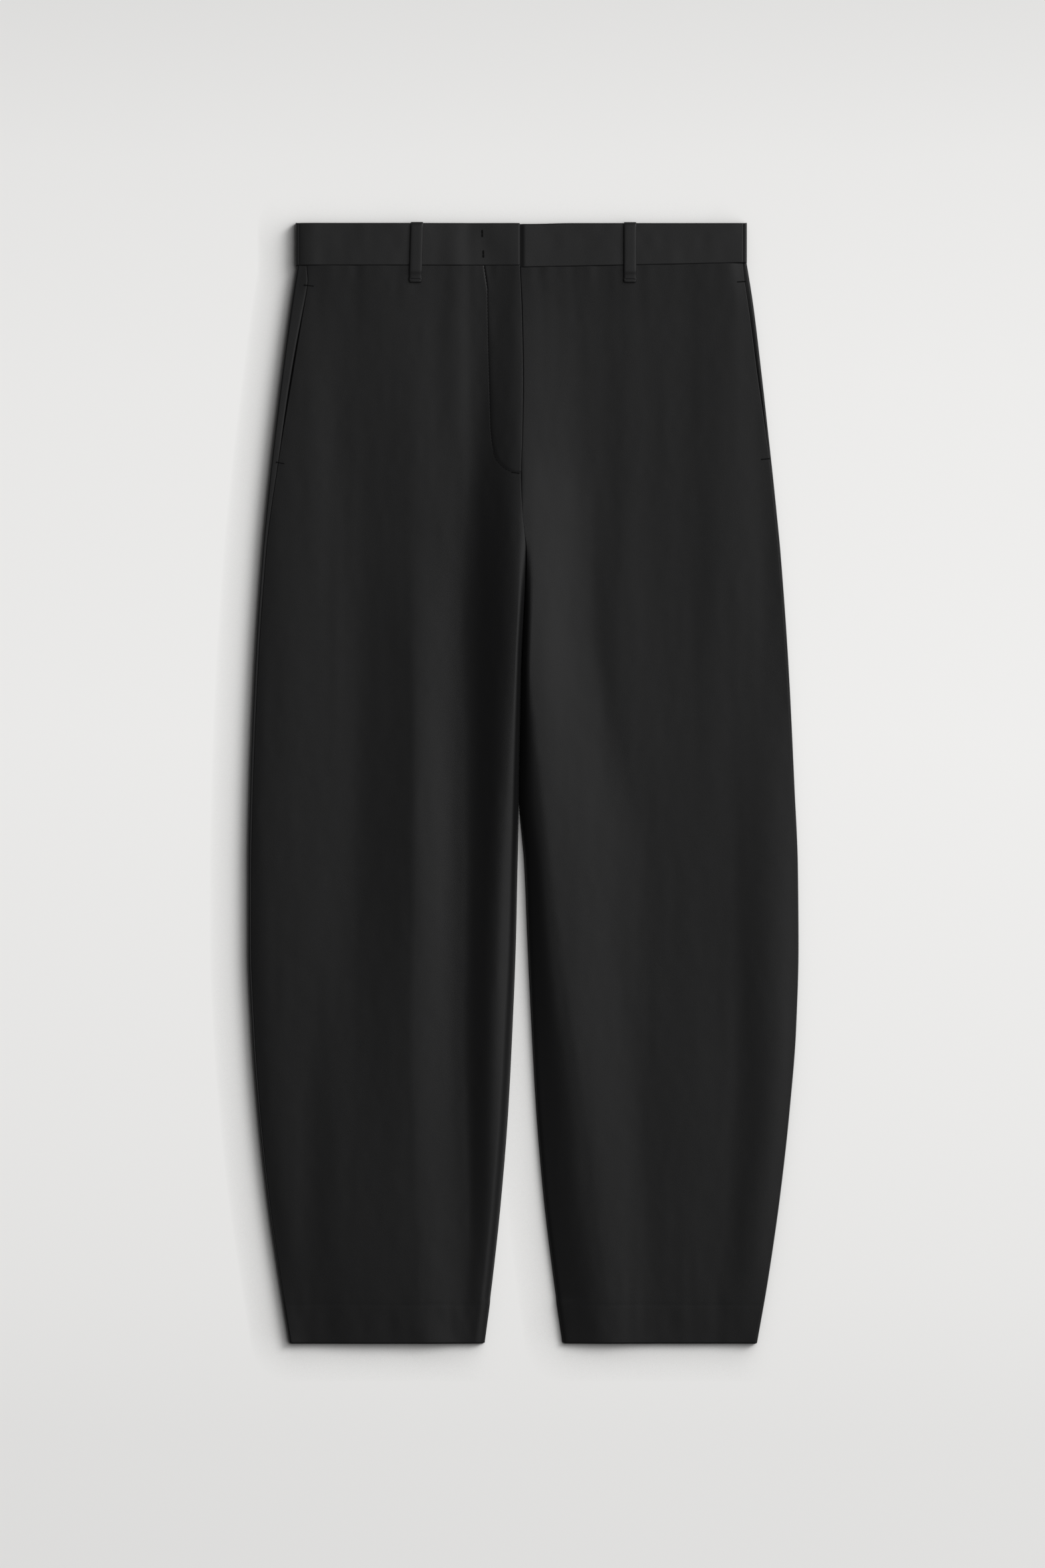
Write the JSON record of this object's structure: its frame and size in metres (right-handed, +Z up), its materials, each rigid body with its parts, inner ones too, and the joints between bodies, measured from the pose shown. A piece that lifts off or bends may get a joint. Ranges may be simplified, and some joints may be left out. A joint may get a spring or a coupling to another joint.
{
  "type": "tulip pants laid flat",
  "caption": "High-waisted trousers laid flat, front up, with a lapped waistband and fly, slant pockets, belt loops and legs that narrow to plain hems.",
  "frame": {"origin": "middle of the garment's footprint, on the surface that it lies on", "axes": "+Z up off the surface, out of the front; +Y from the hems to the waist; +X to the wearer's left"},
  "size_m": [0.4961, 1.011, 0.0162],
  "materials": {
    "suiting": "matt black suiting with a fine twill and a faint sheen",
    "waistband": "the same black suiting on a stiffener, smooth and flat",
    "pocket_facing": "the same black suiting, inside the pocket mouth",
    "thread": "black sewing thread in seams, tacks and topstitching"
  },
  "bodies": {
    "root": {"front_right": "suiting", "front_left": "suiting", "back_right": "suiting", "back_left": "suiting", "waistband_front_right": "waistband", "waistband_front_left": "waistband", "waistband_back": "waistband", "belt_loop_right": "waistband", "belt_loop_left": "waistband", "pocket_facing_right": "pocket_facing", "pocket_facing_left": "pocket_facing"}
  },
  "joints": []
}
